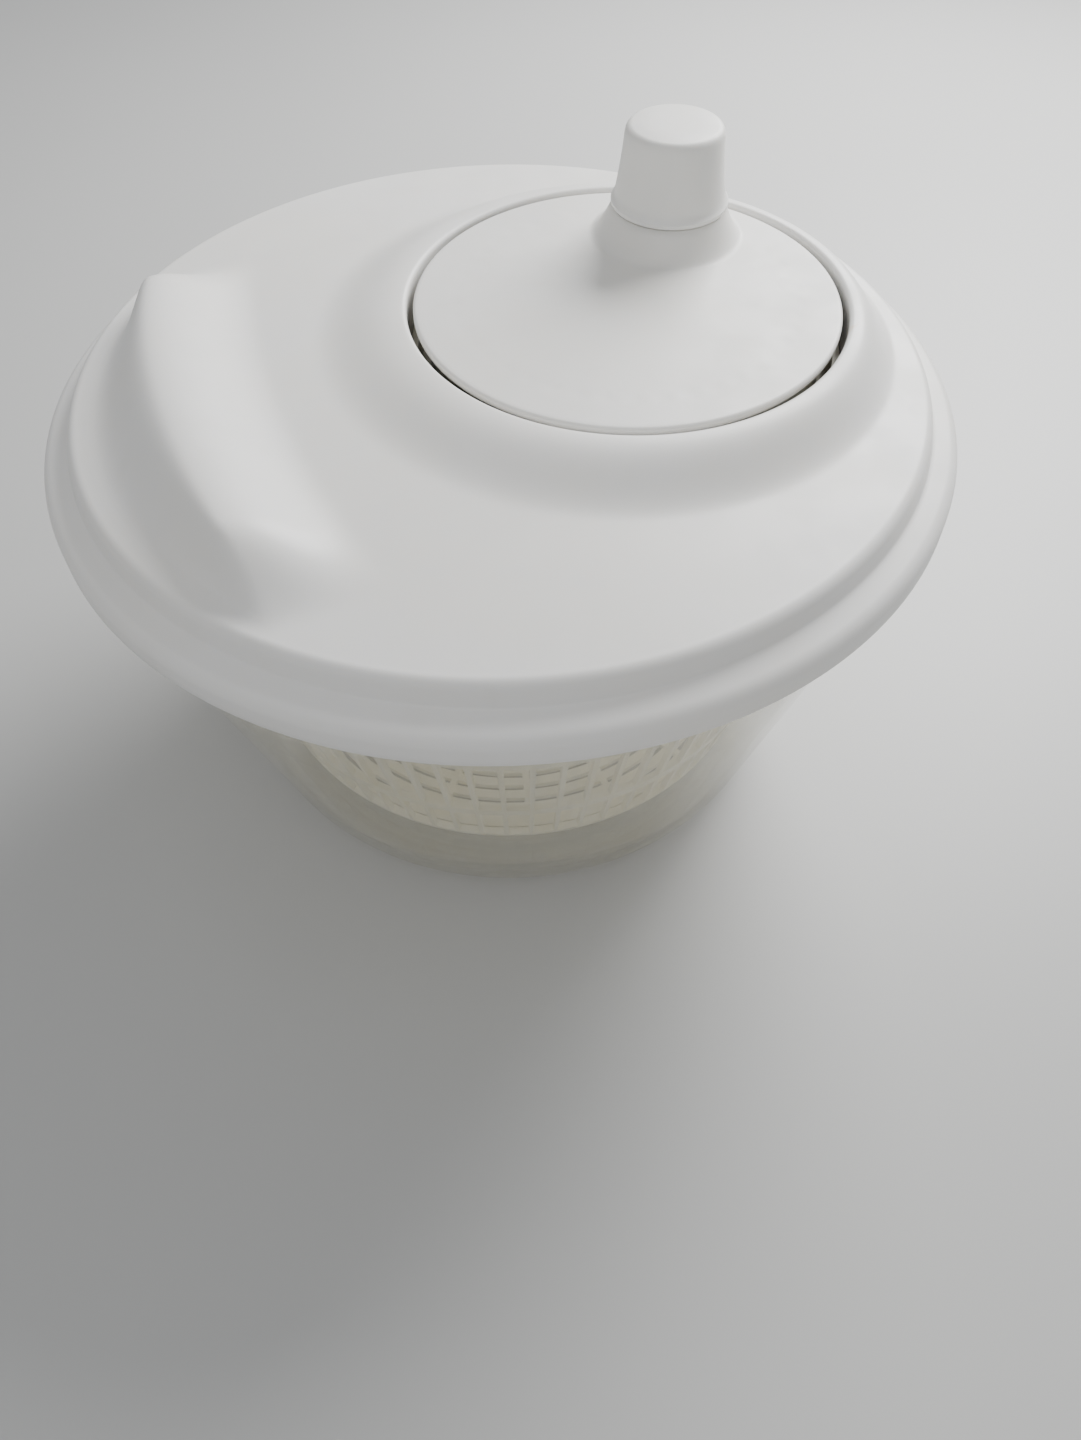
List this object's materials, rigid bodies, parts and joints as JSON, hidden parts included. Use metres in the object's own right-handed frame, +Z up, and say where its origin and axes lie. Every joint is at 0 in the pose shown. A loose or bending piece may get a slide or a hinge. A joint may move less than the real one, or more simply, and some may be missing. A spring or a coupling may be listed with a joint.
{
  "type": "salad spinner",
  "caption": "Round salad spinner: flared see-through bowl, slotted basket and a domed lid with an off-centre crank wheel, a tapered turning knob and a grip hump.",
  "frame": {"origin": "centre of the bowl's foot on the surface it stands on", "axes": "+Z up along the axis of the bowl, basket and lid; +X from that axis to the crank wheel's axis"},
  "size_m": [0.26, 0.26, 0.1842],
  "materials": {
    "bowl_translucent": "satin, translucent polypropylene, slightly yellowed",
    "basket_cream": "satin moulded polypropylene",
    "lid_white": "fine-grained matt moulding",
    "wheel_white": "fine-grained matt moulding",
    "knob_white": "fine-grained matt moulding",
    "pan_natural": "satin moulding",
    "driver_natural": "satin moulding",
    "acetal": "smooth natural acetal",
    "steel": "bright turned"
  },
  "bodies": {
    "bowl": {"bowl": "bowl_translucent", "bowl_pivot_pin": "steel"},
    "basket_bearing": {"basket_bearing": "acetal"},
    "basket": {"basket": "basket_cream"},
    "lid": {"lid_shell": "lid_white", "gear_pan": "pan_natural", "gear_pan_screws": "steel", "wheel_bush": "acetal", "shaft_bush": "acetal"},
    "crank_wheel": {"crank_wheel": "wheel_white", "wheel_washer": "steel", "wheel_screw": "steel", "knob_bush": "acetal"},
    "knob": {"knob": "knob_white", "knob_spindle": "steel", "knob_washer": "steel"},
    "drive": {"drive_shaft": "steel", "pinion": "acetal", "thrust_washer": "steel", "basket_driver": "driver_natural", "driver_clip": "steel"}
  },
  "joints": [
    {"name": "lid_lift", "type": "slide", "parent": "bowl", "child": "lid", "axis": [0, 0, 1], "range_m": [0, 0.3]},
    {"name": "basket_lift", "type": "slide", "parent": "bowl", "child": "basket_bearing", "axis": [0, 0, 1], "range_m": [0, 0.15]},
    {"name": "basket_spin", "type": "hinge", "parent": "basket_bearing", "child": "basket", "pos_m": [0, 0, 0.024], "axis": [0, 0, 1], "continuous": true},
    {"name": "crank_spin", "type": "hinge", "parent": "lid", "child": "crank_wheel", "pos_m": [0.0384, 0, 0.145], "axis": [0, 0, 1], "continuous": true},
    {"name": "drive_spin", "type": "hinge", "parent": "lid", "child": "drive", "pos_m": [0, 0, 0.13], "axis": [0, 0, 1], "continuous": true},
    {"name": "knob_spin", "type": "hinge", "parent": "crank_wheel", "child": "knob", "pos_m": [0.0638, 0.02772, 0.162], "axis": [0, 0, 1], "continuous": true}
  ],
  "couplings": [
    {"joint": "basket_lift", "follows": "lid_lift", "ratio": 0.5},
    {"joint": "drive_spin", "follows": "crank_spin", "ratio": 4.2},
    {"joint": "basket_spin", "follows": "crank_spin", "ratio": 4.2}
  ]
}
